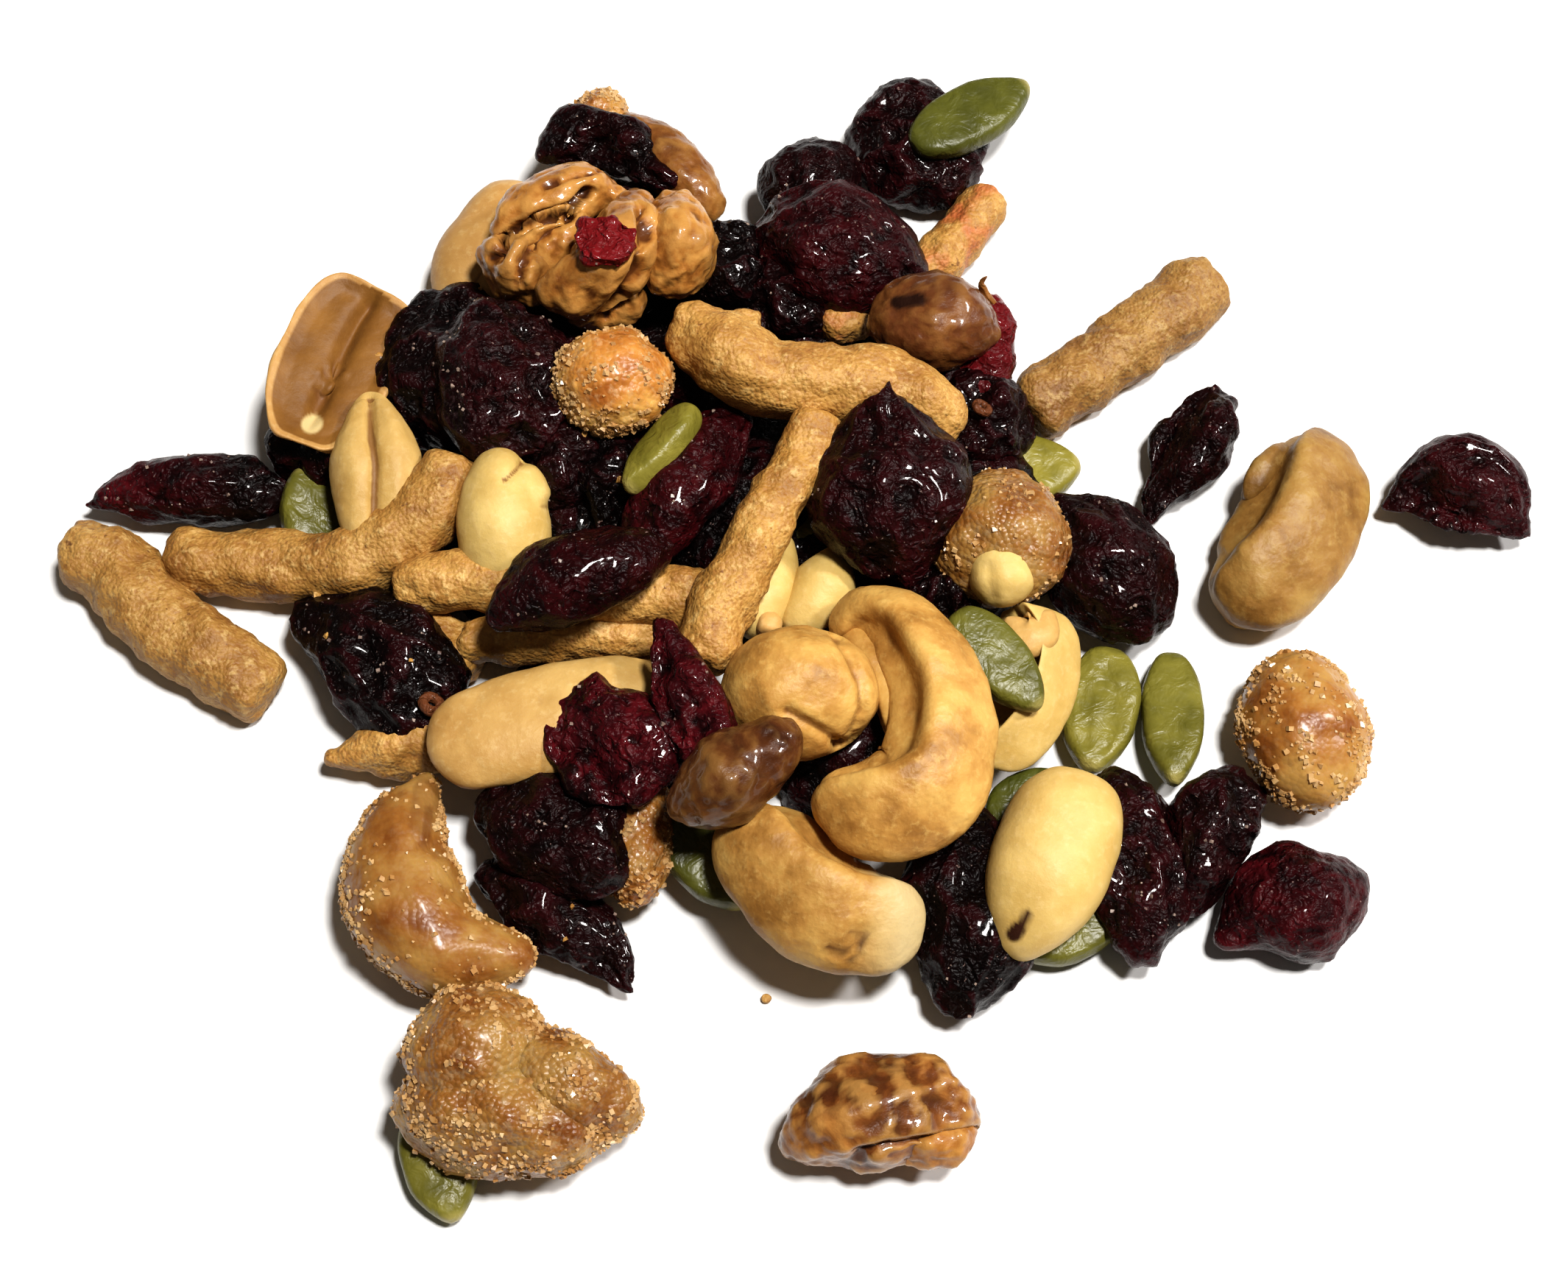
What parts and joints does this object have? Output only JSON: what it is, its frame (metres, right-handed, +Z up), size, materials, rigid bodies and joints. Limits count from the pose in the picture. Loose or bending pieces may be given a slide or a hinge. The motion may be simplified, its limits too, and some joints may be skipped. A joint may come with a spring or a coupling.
{
  "type": "heap of trail mix",
  "caption": "Loose heap of trail mix on a flat base: sesame sticks, cashews, peanuts, glazed and sugared nuts, dried cranberries and pumpkin seeds, with stray pieces beside it.",
  "frame": {"origin": "on the table under the middle of the heap, in the plane of its flat underside", "axes": "+X to the right along the longest spread of the heap, +Y away from the viewer of the picture, +Z up"},
  "size_m": [0.1502, 0.1245, 0.0229],
  "materials": {
    "trail_mix": "mixed nuts, sticks and dried fruit, seen together as a warm brown",
    "sesame_stick": "baked golden brown with pale grains and dark specks, dry and slightly oily",
    "dried_cranberry": "near-black burgundy, wrinkled, sticky and shiny, red where thin",
    "cashew": "roasted tan, smooth, satin",
    "peanut": "blanched and roasted, cream to peach, satin",
    "pumpkin_seed": "olive green skin, satin to glossy, pale at the tip",
    "glazed_nut": "caramel glaze, glossy, nearly black in its creases",
    "sugared_nut": "golden nut in a crust of clear sugar crystals",
    "sugar_crystals": "coarse translucent sugar grains"
  },
  "bodies": {
    "root": {"trail_mix_heap": "trail_mix", "stick_far_left": "sesame_stick", "stick_upper_right": "sesame_stick", "berry_top_right": "dried_cranberry", "berry_right": "dried_cranberry", "cashew_right": "cashew", "berry_far_right": "dried_cranberry", "sugared_peanut_right": "sugared_nut", "berry_lower_right": "dried_cranberry", "walnut_front": "glazed_nut"}
  },
  "joints": []
}
